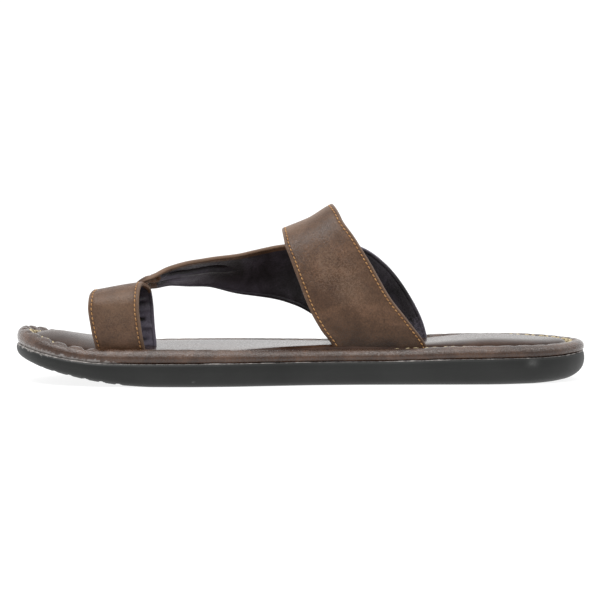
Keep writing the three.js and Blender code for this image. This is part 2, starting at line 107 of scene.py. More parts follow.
def read(table, key, column, place):
    """A column of a table at any place. Between two rows it is a cubic, whose slope at a row is
    the harmonic mean of the slopes beside it, or level at a peak, so it never overshoots."""
    x = np.asarray(table[key], float)
    y = np.asarray(table[column], float)
    secant = np.diff(y) / np.diff(x)
    product = secant[:-1] * secant[1:]
    total = np.where(product > 0, secant[:-1] + secant[1:], 1.0)
    inner = np.where(product > 0, 2 * product / total, 0.0)
    slope = np.concatenate(([secant[0]], inner, [secant[-1]]))
    place = np.clip(place, x[0], x[-1])
    row = np.clip(np.searchsorted(x, place, side="right") - 1, 0, len(x) - 2)
    span = x[row + 1] - x[row]
    t = (place - x[row]) / span
    start = slope[row] * span
    end = slope[row + 1] * span
    rise = y[row + 1] - y[row]
    return (y[row] + start * t + (3 * rise - 2 * start - end) * t**2
            + (start + end - 2 * rise) * t**3)


def smooth(low, high, value):
    """Nought below low, one above high, and a smooth cubic step between."""
    t = np.clip((value - low) / (high - low), 0, 1)
    return t * t * (3 - 2 * t)


def turn_of(along):
    """The turn round the outline at a place along it: the arc cosine of one minus twice it."""
    return np.arccos(1 - 2 * np.clip(along, 0, 1))


def side_of(column, along):
    """The distance of one side of the sole from its centre line."""
    return half_ball * read(outline, "turn", column, turn_of(along))


def x_of(along):
    """The place along the sole in millimetres, from minus half its length at the toe."""
    return (along - 0.5) * sole_length


def along_of(x):
    """The place along the sole as a share, from 0 at the toe to 1 at the heel."""
    return x / sole_length + 0.5


def tread_rise(along):
    """How far the toe spring and the heel lift the tread off the floor."""
    return toe_spring * read(side_view, "along", "tread", along)


def sole_top(along):
    """The height of the outsole's top, which is the tread's and the side's together."""
    return tread_rise(along) + side_height * read(side_view, "along", "side", along)


outline["turn"] = turn_of(np.array(outline["along"]))
station_along = (1 - np.cos(np.pi * np.arange(stations + 1) / stations)) / 2
medial_line = np.stack([x_of(station_along), side_of("medial", station_along)], -1)
lateral_line = np.stack([x_of(station_along), side_of("lateral", station_along)], -1)
edge_line = np.concatenate([medial_line, lateral_line[-2:0:-1]])
edge_way = np.roll(edge_line, -1, 0) - np.roll(edge_line, 1, 0)
edge_way /= np.linalg.norm(edge_way, axis=1, keepdims=True)
edge_inward = np.stack([-edge_way[:, 1], edge_way[:, 0]], -1)
edge_steps = np.linalg.norm(np.roll(edge_line, -1, 0) - edge_line, axis=1)
edge_arc = np.concatenate([[0], np.cumsum(edge_steps)[:-1]])
edge_total = edge_steps.sum()
edge_along = along_of(edge_line[:, 0])


def ring(inset, height):
    """The outline moved inwards by insets, one row of points for each row of insets, and lifted to
    height(along), read where each point has come to lie."""
    flat = edge_line + edge_inward * np.broadcast_to(inset, (len(inset), ring_count))[..., None]
    return np.concatenate([flat, height(along_of(flat[..., :1]))], -1)


def filling(edge, columns, height):
    """Straight rows from each point of a ring on one side of the sole to its partner on the other,
    lifted to height(x, y) inside the ring."""
    near = edge[: stations + 1]
    far = edge[-np.arange(stations + 1)]
    share = np.linspace(0, 1, columns + 1)[1:-1, None]
    rows = near[:, None] * (1 - share) + far[:, None] * share
    rows[..., 2] = height(rows[..., 0], rows[..., 1])
    return rows


def band_quads(rings, count, closed=False):
    """Faces between neighbouring rings of count points, and from the last ring to the first where
    closed holds."""
    low = np.arange(rings if closed else rings - 1)[:, None] * count
    high = (low + count) % (rings * count)
    here = np.arange(count)
    there = (here + 1) % count
    return np.stack([low + here, low + there, high + there, high + here], -1).reshape(-1, 4)


def filling_quads(first_edge, first_inner, columns, upward):
    """Faces of a filling, whose rows run to one point at the toe and at the heel."""
    index = np.empty((stations + 1, columns + 1), int)
    index[:, 0] = first_edge + np.arange(stations + 1)
    index[:, -1] = first_edge + -np.arange(stations + 1) % ring_count
    inner = np.arange((stations + 1) * (columns - 1))
    index[:, 1:-1] = first_inner + inner.reshape(stations + 1, -1)
    index[0] = first_edge
    index[-1] = first_edge + stations
    quads = [index[:-1, :-1], index[1:, :-1], index[1:, 1:], index[:-1, 1:]]
    return np.stack(quads if upward else quads[::-1], -1).reshape(-1, 4)


def make(name, points, quads, materials, caps=(), kinds=None, values=None):
    """A smooth mesh from points in millimetres. A four-cornered face whose corners meet becomes a
    triangle, caps are further faces, kinds gives each quad its material, and values are numbers
    kept at the points."""
    doubled = (quads == np.roll(quads, 1, 1)).any(1)
    halves = np.concatenate([quads[doubled][:, [0, 1, 2]], quads[doubled][:, [0, 2, 3]]])
    whole = (halves != np.roll(halves, 1, 1)).all(1)
    parts = [quads[~doubled], halves[whole]]
    used = np.unique(np.concatenate([part.ravel() for part in parts]))
    place = np.zeros(used.max() + 1, int)
    place[used] = np.arange(len(used))
    faces = [face for part in parts for face in place[part].tolist()]
    faces += [place[cap].tolist() for cap in caps]
    mesh = bpy.data.meshes.new(name)
    points = np.asarray(points, float).reshape(-1, 3)[used] * 0.001
    mesh.from_pydata(points.tolist(), [], faces)
    for material in materials:
        mesh.materials.append(material)
    if kinds is not None:
        shares = [kinds[~doubled], np.tile(kinds[doubled], 2)[whole], np.zeros(len(caps))]
        mesh.polygons.foreach_set("material_index", np.concatenate(shares).astype(np.int32))
    for key, numbers in (values or {}).items():
        numbers = np.asarray(numbers, np.float32).ravel()[used]
        mesh.attributes.new(key, "FLOAT", "POINT").data.foreach_set("value", numbers)
    mesh.shade_smooth()
    piece = bpy.data.objects.new(name, mesh)
    bpy.context.scene.collection.objects.link(piece)
    return piece


def paint(code):
    """A colour given as sRGB hex, as linear numbers."""
    parts = [int(code[i:i + 2], 16) / 255 for i in (1, 3, 5)]
    return [p / 12.92 if p <= 0.04045 else ((p + 0.055) / 1.055) ** 2.4 for p in parts] + [1.0]


def add(tree, kind, inputs=None, stops=None, **settings):
    """A node with its settings and colour stops, its inputs set to values or linked to sockets."""
    node = tree.nodes.new(kind)
    for key, value in settings.items():
        setattr(node, key, value)
    for key, value in (inputs or {}).items():
        if isinstance(value, bpy.types.NodeSocket):
            tree.links.new(value, node.inputs[key])
        else:
            node.inputs[key].default_value = value
    if stops:
        while len(node.color_ramp.elements) < len(stops):
            node.color_ramp.elements.new(1.0)
        for element, (position, colour) in zip(node.color_ramp.elements, stops):
            element.position = position
            element.color = paint(colour)
    return node


def finish_of(name):
    """A new material and its node tree, which holds only the surface shader."""
    material = bpy.data.materials.new(name)
    material.use_nodes = True
    return material, material.node_tree, material.node_tree.nodes["Principled BSDF"]


# Foamed polyurethane, poured and self-skinned: matte, faintly mottled in clouds 36 mm wide, with a
# moulded grain of 0.5 mm. Cement has crept on to its top edge, mostly round the toe, in specks of
# 2.4 mm, and two scuffs have gone grey. A scale is how many such widths go into a metre.
foam, tree, shader = finish_of("moulded foamed polyurethane")
coords = add(tree, "ShaderNodeTexCoord").outputs["Object"]
clouds = add(tree, "ShaderNodeTexNoise", {"Vector": coords, "Scale": 28.0, "Detail": 4.0})
skin = add(tree, "ShaderNodeValToRGB", {"Fac": clouds.outputs["Fac"]},
           stops=[(0.35, "#191a19"), (0.65, "#232423")])
below = add(tree, "ShaderNodeAttribute", attribute_name="below_top").outputs["Fac"]
specks = add(tree, "ShaderNodeTexNoise", {"Vector": coords, "Scale": 420.0, "Detail": 3.0,
                                          "Roughness": 0.7})
reach = add(tree, "ShaderNodeMapRange", {"Value": below, "From Min": 0.0, "From Max": 2.2,
                                         "To Min": 0.10, "To Max": -0.22})
smear = add(tree, "ShaderNodeMath", {0: specks.outputs["Fac"], 1: reach.outputs["Result"]},
            operation="ADD")
cement_mask = add(tree, "ShaderNodeMapRange", {"Value": smear.outputs[0], "From Min": 0.55,
                                               "From Max": 0.62})
tinted = add(tree, "ShaderNodeMix", {0: cement_mask.outputs["Result"], 6: skin.outputs["Color"],
                                     7: paint("#7a7674")}, data_type="RGBA")
scraping = add(tree, "ShaderNodeAttribute", attribute_name="scraping").outputs["Fac"]
scraped = add(tree, "ShaderNodeMix", {0: scraping, 7: paint("#6a6a69")}, data_type="RGBA")
shader.inputs["Roughness"].default_value = 0.50
shader.inputs["Specular IOR Level"].default_value = 0.35
tree.links.new(tinted.outputs[2], scraped.inputs[6])
tree.links.new(scraped.outputs[2], shader.inputs["Base Color"])
grain = add(tree, "ShaderNodeTexNoise", {"Vector": coords, "Scale": 1900.0, "Detail": 2.0})
relief = add(tree, "ShaderNodeBump", {"Height": grain.outputs["Fac"], "Strength": 0.25,
                                      "Distance": 0.0002})
tree.links.new(relief.outputs["Normal"], shader.inputs["Normal"])

side_steps = np.linspace(0, moulded_side["step"][-1], side_rows)[:, None]
side_heights = read(moulded_side, "step", "height", side_steps)
side_insets = read(moulded_side, "step", "inset", side_steps)
edge_roundness = tread_edge * read(side_view, "along", "edge", edge_along)
side_rings = ring(side_insets * edge_roundness, tread_rise)
side_along = along_of(side_rings[..., 0])
side_rings[..., 2] += (sole_top(side_along) - tread_rise(side_along)) * side_heights


def tread_cut(x, y):
    """The depth of the tread's grooves at a place: straight ones across the ball and heel, and
    notches square to the outline round the toe, found by the nearest point of the outline."""
    spots = np.stack([x.ravel(), y.ravel()], -1)
    batch = 2000
    nearest = np.concatenate([
        ((part[:, None] - edge_line[None]) ** 2).sum(-1).argmin(1)
        for part in np.array_split(spots, 1 + len(spots) // batch)
    ]).reshape(x.shape)
    inset = ((np.stack([x, y], -1) - edge_line[nearest]) * edge_inward[nearest]).sum(-1)
    along = along_of(x)
    cut = np.zeros(x.shape)
    for start, end, room in cross_fields:
        step = groove_pitch / sole_length
        count = int((end - start) / step) + 1
        turn = np.clip(np.round((along - start) / step), 0, count - 1)
        away = np.abs(along - start - turn * step) * sole_length
        groove = smooth(groove_half + groove_slope, groove_half - groove_slope, away)
        groove *= smooth(room - groove_end_slope, room + groove_end_slope, inset)
        cut = np.maximum(cut, groove)
    arc = edge_arc[nearest]
    arc = np.minimum(arc, edge_total - arc)
    away = np.abs((arc / groove_pitch) % 1 - 0.5) * groove_pitch
    notch = smooth(groove_half + notch_slopes[0], groove_half - notch_slopes[1], away)
    notch *= smooth(notch_length + 1, notch_length - 1, inset)
    notch *= smooth(notch_reach, notch_reach - 0.02, along)
    return groove_depth * np.maximum(cut, notch * notch_share)


cut = tread_cut(side_rings[..., 0], side_rings[..., 1])
side_rings[..., 2] = np.maximum(side_rings[..., 2], tread_rise(side_along) + cut)
tread_rows = filling(side_rings[0], tread_columns,
                     lambda x, y: tread_rise(along_of(x)) + tread_cut(x, y))
lid_rows = filling(side_rings[-1], lid_columns, lambda x, y: sole_top(along_of(x)))
first_tread = side_rows * ring_count
first_lid = first_tread + tread_rows.size // 3
outsole_parts = (side_rings, tread_rows, lid_rows)
outsole_points = np.concatenate([part.reshape(-1, 3) for part in outsole_parts])
outsole_quads = np.concatenate([
    band_quads(side_rows, ring_count),
    filling_quads(0, first_tread, tread_columns, False),
    filling_quads(first_tread - ring_count, first_lid, lid_columns, True),
])
outsole_x, outsole_y, outsole_z = outsole_points.T
below_top = sole_top(along_of(outsole_x)) - outsole_z
below_top += cement_retreat * smooth(0.02, 0.25, along_of(outsole_x))
scraping = 0 * below_top
for x, z, long, tall, amount in side_scuffs:
    nearby = np.exp(-((outsole_x - x) / long) ** 2 - ((outsole_z - z) / tall) ** 2)
    scraping += amount * nearby * (outsole_y < near_side)
scraping *= np.random.default_rng(5).uniform(0.4, 1, scraping.shape)
outsole = make("outsole_unit", outsole_points, outsole_quads, [foam],
               values={"below_top": below_top, "scraping": scraping})
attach(outsole, "root")
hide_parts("outsole")


# The padded rim: brown faux leather rolled over foam, cemented on the outsole all the way round.
# Thick thread pulls its inner lip down at every stitch, so the lip stands in scallops between.
rim_width = 7.5
rim_height = 6.4
rim_setback = 0.7
clearance = 0.3
seam_inset = rim_setback + rim_width + clearance
stitch_pitch = 9.3
pull_reach = 1.5
lip_bulge = 0.5
lip_draw = 1.4
tip_overhang = 0.5
heel_overhang = 0.6
section_middle = 3.0
smear_wear = 0.85
# The shoulder band, 4.3 mm up the rim, is a painted highlight: paler, and crossed by crinkles
# painted with glints.
shoulder_height = 4.3
shoulder_half = 0.9
shoulder_painted_highlight = 0.12
# Pairs are the usual value and the one round the toe, where the lip is wider and pulled deeper.
lip_place = (6.4, 5.5)
lip_reach = (1.9, 2.7)
lip_stand = (0.35, 0.20)
pull_depth = (1.8, 2.6)
# Corners of the rim's section, as shares of its width, inwards, and of its height. The lifts are
# the millimetres by which it stands higher on the near and the far side.
rim_corners = np.array([
    [.12, 0], [.02, .20], [.01, .44], [.09, .69], [.26, .89], [.48, 1], [.72, .92], [.92, .74],
    [1, .64], [1, 0],
])
rim_lifts = {
    "along": [0, .04, .07, .10, .18, .24, .30, .40, .46, .54, .62, .70, .76, .90, .97, 1],
    "near": [0, 0, 0, 0, .5, .7, .6, 0, -.4, -.5, -.5, -.4, 0, 0, 0, 0],
    "far": [0, .3, -.6, -1.4, -1.4, -1.0, -1.1, -1.1, -1.1, -1.1, -.6, .8, 1.2, 1.5, .7, 0],
}
rim_samples = 192
rim_rings = 48
stitch_count = int(round(edge_total / stitch_pitch))
stitch_run = edge_total / stitch_count


def leather(name, tones, cloud_mm, pebble_mm, depth_mm, rough, specular, coat, coat_rough, wear_and_painted_light):
    """Embossed faux leather: a glazed polyurethane skin on cloth. Three tones in clouds cloud_mm
    wide, pebbles pebble_mm wide pressed depth_mm deep, painted darker where they sink and paler
    where they stand up, as painted shade and painted glints. The wear attribute goes from minus
    one, burnished dark and painted shade, to one, scuffed dull and painted highlight, towards the
    wear colour. Where the crinkle attribute is high, fine raised wrinkles from a noise of 1.8 mm
    cross the skin, painted pale along them as painted glints. They are where the noise folds
    back on itself."""
    material, tree, shader = finish_of(name)
    coords = add(tree, "ShaderNodeTexCoord").outputs["Object"]
    clouds = add(tree, "ShaderNodeTexNoise", {"Vector": coords, "Scale": 1000 / cloud_mm,
                                              "Detail": 6.0, "Roughness": 0.62, "Distortion": 0.6})
    tone = add(tree, "ShaderNodeValToRGB", {"Fac": clouds.outputs["Fac"]},
               stops=list(zip((0.34, 0.50, 0.66), tones)))
    pebbles = add(tree, "ShaderNodeTexVoronoi", {"Vector": coords, "Scale": 1000 / pebble_mm},
                  feature="SMOOTH_F1")
    fine = add(tree, "ShaderNodeTexNoise", {"Vector": coords, "Scale": 1000 / pebble_mm,
                                            "Detail": 6.0, "Roughness": 0.75})
    height = add(tree, "ShaderNodeMath", {0: pebbles.outputs["Distance"], 1: 0.6,
                                          2: fine.outputs["Fac"]}, operation="MULTIPLY_ADD")
    waves = add(tree, "ShaderNodeTexNoise", {"Vector": coords, "Scale": 560.0, "Detail": 5.0,
                                             "Roughness": 0.68})
    folded = add(tree, "ShaderNodeMath", {0: waves.outputs["Fac"], 1: 0.5}, operation="PINGPONG")
    ridges = add(tree, "ShaderNodeMapRange", {"Value": folded.outputs[0], "From Min": 0.455,
                                              "From Max": 0.495})
    crinkle_and_painted_glint = add(tree, "ShaderNodeAttribute", attribute_name="crinkle_and_painted_glint").outputs["Fac"]
    lines = add(tree, "ShaderNodeMath", {0: ridges.outputs["Result"], 1: crinkle_and_painted_glint},
                operation="MULTIPLY")
    whole = add(tree, "ShaderNodeMath", {0: lines.outputs[0], 1: -0.45, 2: height.outputs[0]},
                operation="MULTIPLY_ADD")
    # Painted shade and glints: the grain's colour is darker where it sinks and paler where it
    # stands up.
    grain_painted_light = add(tree, "ShaderNodeMapRange", {"Value": whole.outputs[0], "From Min": 0.40,
                                              "From Max": 1.20, "To Min": 1.50, "To Max": 0.55})
    shade = add(tree, "ShaderNodeVectorMath",
                {0: tone.outputs["Color"], "Scale": grain_painted_light.outputs["Result"]}, operation="SCALE")
    # The attribute holds real wear, painted highlights and painted shade, and the crinkle lines add
    # painted glints.
    rubbed_and_painted_light = add(tree, "ShaderNodeAttribute", attribute_name="wear_and_painted_light").outputs["Fac"]
    worn_and_painted_light = add(tree, "ShaderNodeMath", {0: lines.outputs[0], 1: 0.36, 2: rubbed_and_painted_light},
               operation="MULTIPLY_ADD")
    # Below nought it darkens the colour: burnish and painted shade.
    dark = add(tree, "ShaderNodeMapRange", {"Value": worn_and_painted_light.outputs[0], "From Min": -1.0,
                                            "From Max": 0.0, "To Min": 0.35, "To Max": 1.0})
    burnished_and_painted_shade = add(tree, "ShaderNodeVectorMath",
                    {0: shade.outputs["Vector"], "Scale": dark.outputs["Result"]},
                    operation="SCALE")
    colour = add(tree, "ShaderNodeMix", {0: worn_and_painted_light.outputs[0], 6: burnished_and_painted_shade.outputs["Vector"],
                                         7: paint(wear_and_painted_light)}, data_type="RGBA")
    tree.links.new(colour.outputs[2], shader.inputs["Base Color"])
    polish = add(tree, "ShaderNodeMapRange", {"Value": whole.outputs[0], "From Min": 0.4,
                                              "From Max": 1.2, "To Min": rough - 0.10,
                                              "To Max": rough + 0.14})
    gloss = add(tree, "ShaderNodeMath", {0: worn_and_painted_light.outputs[0], 1: 0.20, 2: polish.outputs["Result"]},
                operation="MULTIPLY_ADD")
    tree.links.new(gloss.outputs[0], shader.inputs["Roughness"])
    shader.inputs["Specular IOR Level"].default_value = specular
    shader.inputs["Coat Weight"].default_value = coat
    shader.inputs["Coat Roughness"].default_value = coat_rough
    relief = add(tree, "ShaderNodeBump", {"Height": whole.outputs[0], "Strength": 0.7,
                                          "Distance": -depth_mm * 0.001})
    tree.links.new(relief.outputs["Normal"], shader.inputs["Normal"])
    tree.links.new(relief.outputs["Normal"], shader.inputs["Coat Normal"])
    return material


def rounded(corners, samples, width):
    """A closed line through corners, sampled evenly by length and then softened by a bell curve."""
    loop = np.concatenate([corners, corners[:1]])
    run = np.concatenate([[0], np.cumsum(np.linalg.norm(np.diff(loop, axis=0), axis=1))])
    even = np.linspace(0, run[-1], samples, endpoint=False)
    line = np.stack([np.interp(even, run, loop[:, i]) for i in (0, 1)], -1)
    reach = np.arange(-4 * width, 4 * width + 1)
    bell = np.exp(-0.5 * (reach / width) ** 2)
    bell /= bell.sum()
    return sum(weight * np.roll(line, int(step), 0) for step, weight in zip(reach, bell))


def round_toe(pair):
    """The first value of a pair, or round the toe the second."""
    return pair[0] + (pair[1] - pair[0]) * smooth(0.19, 0.13, edge_along)


# The rim's leather is satin: a soft glint from the lamp runs along its shoulder, with a painted
# highlight laid on it there, and its skin is finely pebbled.
rim_leather = leather("rolled faux leather", ("#302017", "#3f2b1f", "#523b2d"), 12, 0.8, 0.30, 0.26,
                      0.26, 0.65, 0.20, "#8d8885")
rim_line = rounded(rim_corners * [rim_width, rim_height], rim_samples, 4)
rim_line = rim_line[::rim_samples // rim_rings]
rim_in = rim_line[:, :1]
rim_up = rim_line[:, 1:]
lip = np.exp(-((rim_in - round_toe(lip_place)) / round_toe(lip_reach)) ** 2)
lip *= smooth(2.0, 4.6, rim_up)
stitch_phase = (edge_arc / stitch_run) % 1
from_stitch = np.minimum(stitch_phase, 1 - stitch_phase) * stitch_run
pull = np.exp(-(from_stitch / pull_reach) ** 2)[None]
overhang = (tip_overhang * smooth(0.035, 0.0, edge_along)
            + heel_overhang * smooth(0.965, 1.0, edge_along))
rim_insets = rim_setback + rim_in + lip * (lip_bulge - lip_draw * pull) - overhang
far_side = (np.arange(ring_count) > stations)[None]
own_lift = np.where(far_side, read(rim_lifts, "along", "far", edge_along),
                    read(rim_lifts, "along", "near", edge_along))
rim_lift = rim_up * (read(side_view, "along", "rim", edge_along) + own_lift / rim_height)
rim_lift += lip * (round_toe(lip_stand) - round_toe(pull_depth) * pull)
rim_points = ring(rim_insets, lambda along: sole_top(along) + clearance)
rim_points[..., 2] += rim_lift
# Cement smeared on the rim's foot in blots, highest round the toe, and along its shoulder a painted
# highlight: a paler band crossed by crinkles with painted glints.
outer_half = rim_in < section_middle
blots = np.random.default_rng(11).uniform(0, 1, (rim_rings, ring_count))
blots = (blots + np.roll(blots, 1, 1) + np.roll(blots, 1, 0) + np.roll(blots, (1, 1), (0, 1))) / 4
smeared = smooth(2.5, 0.6, rim_up + 2.0 * smooth(0.15, 0.21, edge_along)) * outer_half
smeared = smeared * smooth(0.006, 0.02, edge_along)
smeared = smooth(0.45, 0.75, smeared + 1.5 * (blots - 0.5)) * smooth(0, 0.15, smeared)
shoulder_glint_band = np.exp(-((rim_up - shoulder_height) / shoulder_half) ** 2) * outer_half
shoulder_glint_band = 0.9 * shoulder_glint_band * smooth(0.10, 0.25, edge_along) * smooth(1.0, 0.95, edge_along)
# The rim's colour field holds the cement smear and the painted highlight along the shoulder.
rim_smear_and_painted_highlight = smear_wear * smeared + shoulder_painted_highlight * shoulder_glint_band
rim = make("padded_rim", rim_points, band_quads(rim_rings, ring_count, True), [rim_leather],
           values={"wear_and_painted_light": rim_smear_and_painted_highlight, "crinkle_and_painted_glint": shoulder_glint_band})
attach(rim, "root")
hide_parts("rim")


# The line of dried cement that shows where the rim was pressed on to the outsole: a thin bead that
# comes and goes, thickest round the toe. It is greyish white and dull, in crumbs of 1.7 mm.
bead_sides = 8
bead_inset = 1.0
bead_raise = 0.15
bead_thinnest = 0.12
bead_swell = 0.34
bead_toe_swell = 0.25
bead_waves = (7, 13, 29, 47, 71, 113)
cement, tree, shader = finish_of("dried contact cement")
coords = add(tree, "ShaderNodeTexCoord").outputs["Object"]
crumbs = add(tree, "ShaderNodeTexNoise", {"Vector": coords, "Scale": 600.0, "Detail": 3.0})
tone = add(tree, "ShaderNodeValToRGB", {"Fac": crumbs.outputs["Fac"]},
           stops=[(0.35, "#5d5856"), (0.7, "#a19c98")])
tree.links.new(tone.outputs["Color"], shader.inputs["Base Color"])
shader.inputs["Roughness"].default_value = 0.7


def tube(path, radius, sides):
    """Points of a closed tube round a closed path: circles across it, set up by the vertical."""
    way = np.roll(path, -1, 0) - np.roll(path, 1, 0)
    way /= np.linalg.norm(way, axis=1, keepdims=True)
    across = np.cross(way, [0, 0, 1.0])
    across /= np.linalg.norm(across, axis=1, keepdims=True)
    up = np.cross(across, way)
    angle = 2 * np.pi * np.arange(sides) / sides
    radius = np.broadcast_to(radius, len(path))[:, None, None]
    return path[:, None] + radius * (across[:, None] * np.cos(angle)[:, None]
                                     + up[:, None] * np.sin(angle)[:, None])


def tube_quads(rings, sides):
    """Faces of a closed tube, turned round so that they look away from its path."""
    return band_quads(rings, sides, True)[:, [0, 3, 2, 1]]


wander = sum(np.sin(edge_arc * 2 * np.pi * k / edge_total + k * k) / math.sqrt(k)
             for k in bead_waves)
bead_radius = (bead_thinnest + bead_swell * smooth(-0.2, 1.0, wander)
               + bead_toe_swell * smooth(0.22, 0.04, edge_along))
bead_path = ring(np.full((1, 1), bead_inset), sole_top)[0] + [0, 0, bead_raise]
bead = make("cement_line", tube(bead_path, bead_radius, bead_sides),
            tube_quads(ring_count, bead_sides), [cement])
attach(bead, "root")


# The footbed: glossy dark brown faux leather drawn over foam. It is pulled down at its seam with
# the rim, swells up inside it, most at the heel, and is raised at the big toe side into the arch.
footbed_edge = 4.6
footbed_crown = 3.0
arch_rise = 3.2
footbed_tuck = 1.0
tuck_reach = 1.6
seam_overlap = 0.6
spine_share = 0.84
border_share = 0.08
border_rows = 9
inner_rows = 34
toe_wear = 0.3
crown_line = {
    "along": [0, .04, .08, .13, .18, .25, .45, .58, .68, .76, .83, .88, .95, 1],
    "rise": [1.2, 1.6, 1.85, 1.7, 1.1, .45, .25, .15, .40, 1.0, 1.42, 1.25, .95, .9],
    "fullness": [3.2, 3.2, 3.2, 3.5, 4.5, 6, 6, 6, 6, 6.5, 7, 7, 7, 7],
}
arch_line = {"along": [.36, .48, .58, .68, .80], "rise": [0, .75, 1, .70, 0]}
# A glazed finish: nearly smooth, with a clear sheen where the light strikes it low.
footbed_leather = leather("glazed faux leather", ("#281911", "#312017", "#3e2b20"), 22, 0.8, 0.05,
                          0.20, 0.12, 0.10, 0.16, "#35251b")


def footbed_seam(x, y):
    """The footbed's height at its seam, raised by the square of the nearness to the arch side."""
    along = along_of(x)
    medial = side_of("medial", along) + seam_inset
    lateral = side_of("lateral", along) - seam_inset
    across = np.clip((y - medial) / (lateral - medial), 0, 1)
    arch = arch_rise * read(arch_line, "along", "rise", along) * (1 - across) ** 2
    edge = footbed_edge * read(side_view, "along", "rim", along)
    return sole_top(along) + clearance + edge + arch


def spine_of(edge):
    """The middle of the sole that each point of a ring faces, drawn in at the toe and the heel."""
    partner = edge[-np.arange(ring_count) % ring_count]
    return np.stack([edge[:, 0] * spine_share, (edge[:, 1] + partner[:, 1]) / 2], -1)


shrinks = np.concatenate([np.linspace(0, border_share, border_rows),
                          np.linspace(border_share, 1, inner_rows)[1:]])[:, None, None]
seam_edge = ring(np.full((1, 1), seam_inset - seam_overlap), sole_top)[0, :, :2]
footbed_flat = seam_edge + (spine_of(seam_edge) - seam_edge) * shrinks
footbed_z = footbed_seam(footbed_flat[..., 0], footbed_flat[..., 1])
bed_along = along_of(footbed_flat[..., 0])
swell = 1 - (1 - shrinks[..., 0]) ** read(crown_line, "along", "fullness", bed_along)
footbed_z = footbed_z + footbed_crown * swell * read(crown_line, "along", "rise", bed_along)
from_seam = np.linalg.norm(footbed_flat - seam_edge, axis=-1)
footbed_z -= footbed_tuck * np.exp(-(from_seam / tuck_reach) ** 2)
footbed_top = np.concatenate([footbed_flat, footbed_z[..., None]], -1)
footbed_foot = footbed_top[:1].copy()
footbed_foot[..., 2] = sole_top(along_of(footbed_foot[..., 0])) + clearance
footbed_base = np.concatenate([spine_of(seam_edge), footbed_foot[0, :, 2:]], -1)[None]
footbed_points = np.concatenate([footbed_base, footbed_foot, footbed_top])
footbed_wear = toe_wear * smooth(0.24, 0.14, along_of(footbed_points[..., 0]))
footbed = make("footbed_cover", footbed_points, band_quads(len(footbed_points), ring_count),
               [footbed_leather], values={"wear_and_painted_light": footbed_wear})
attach(footbed, "root")
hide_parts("footbed")


# The rim's stitching: one thick waxed cotton thread that goes to and fro over the seam, from a hole
# in the rim to a hole in the footbed, and pulls both down.
rim_thread_radius = 0.65
rim_thread_sides = 8
rim_hole = (5.6, 6.2)
bed_hole_inset = 9.4
bed_hole_phase = 0.45
bed_hole_rise = 0.8
hole_sink = 0.45
strand_samples = 8
# How far a stitch stands up in its middle, in millimetres, on the near and the far side.
thread_show = {
    "along": [0, .05, .075, .10, .62, .67, .78, .82, .88, .94, 1],
    "near": [2.0, 2.2, 1.2, 0, 0, 1.1, 1.0, .5, .6, .9, 1.2],
    "far": [1.7, 1.2, .2, 0, 0, .1, .4, 1.2, 2.0, 2.0, 1.2],
}
# Waxed cotton: pale straw, dull, with dark fibres in clumps of 0.7 mm.
waxed_thread, tree, shader = finish_of("waxed cotton thread")
coords = add(tree, "ShaderNodeTexCoord").outputs["Object"]
fibres = add(tree, "ShaderNodeTexNoise", {"Vector": coords, "Scale": 1400.0, "Detail": 2.0})
tone = add(tree, "ShaderNodeValToRGB", {"Fac": fibres.outputs["Fac"]},
           stops=[(0.3, "#8f8060"), (0.7, "#cdbd97")])
tree.links.new(tone.outputs["Color"], shader.inputs["Base Color"])
shader.inputs["Roughness"].default_value = 0.65
relief = add(tree, "ShaderNodeBump", {"Height": fibres.outputs["Fac"], "Strength": 0.5,
                                      "Distance": 0.0003})
tree.links.new(relief.outputs["Normal"], shader.inputs["Normal"])


def at_arc(values, arc):
    """Values kept at the points of the outline, read at lengths along it."""
    arc = np.mod(arc, edge_total)
    values = np.concatenate([values, values[:1]])
    run = np.concatenate([edge_arc, [edge_total]])
    return np.stack([np.interp(arc, run, values[:, i]) for i in range(values.shape[1])], -1)


rim_hole_row = int(np.argmin(np.linalg.norm(rim_line - rim_hole, axis=1)))
stitch_arc = np.arange(stitch_count) * stitch_run
rim_holes = at_arc(rim_points[rim_hole_row], stitch_arc) - [0, 0, hole_sink]
bed_hole_away = bed_hole_inset - seam_inset + seam_overlap
waist_station = 200
bed_row = int(np.argmin(np.abs(from_seam[:, waist_station] - bed_hole_away)))
bed_holes = at_arc(footbed_top[bed_row], stitch_arc + bed_hole_phase * stitch_run)
bed_holes[:, 2] = np.minimum(bed_holes[:, 2] - hole_sink, rim_holes[:, 2] + bed_hole_rise)
holes = np.stack([rim_holes, bed_holes], 1).reshape(-1, 3)
far_holes = np.roll(holes, -1, 0)
share = (np.arange(strand_samples) / strand_samples)[None, :, None]
hole_along = along_of(holes[:, 0])
stand = np.where(holes[:, 1] < 0, read(thread_show, "along", "near", hole_along),
                 read(thread_show, "along", "far", hole_along))[:, None, None]
arch_up = 4 * share * (1 - share) * stand * np.array([0, 0, 1.0])
thread_path = (holes[:, None] * (1 - share) + far_holes[:, None] * share + arch_up).reshape(-1, 3)
rim_thread = make("rim_stitching", tube(thread_path, rim_thread_radius, rim_thread_sides),
                  tube_quads(len(thread_path), rim_thread_sides), [waxed_thread])
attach(rim_thread, "root")


# The straps: brown faux leather on the outside, edges turned in, and a black lining cemented and
# stitched to it. The last under them is two part-ellipses at each place along the foot.
strap_wall = 2.2
instep_height = 75.0
toe_loop_height = 37.0
strap_bond = 0.4
crossing = (0.56, 0.68)
neck_sink = 1.4
neck_share = 0.075
neck_slope = 0.06
turned_band = 2.7
turned_end = 0.62
stitch_inset = 2.0
trough_depth = 0.30
trough_half = 0.5
edge_roll = 0.12
strap_swell = 0.35
lining_start = 1.7
# A strap is paler within 1.5 mm of its edges.
edge_paling = 0.45
# Painted shade: a strap's sunk creases are darkened by their depth.
crease_painted_shade = 1.3
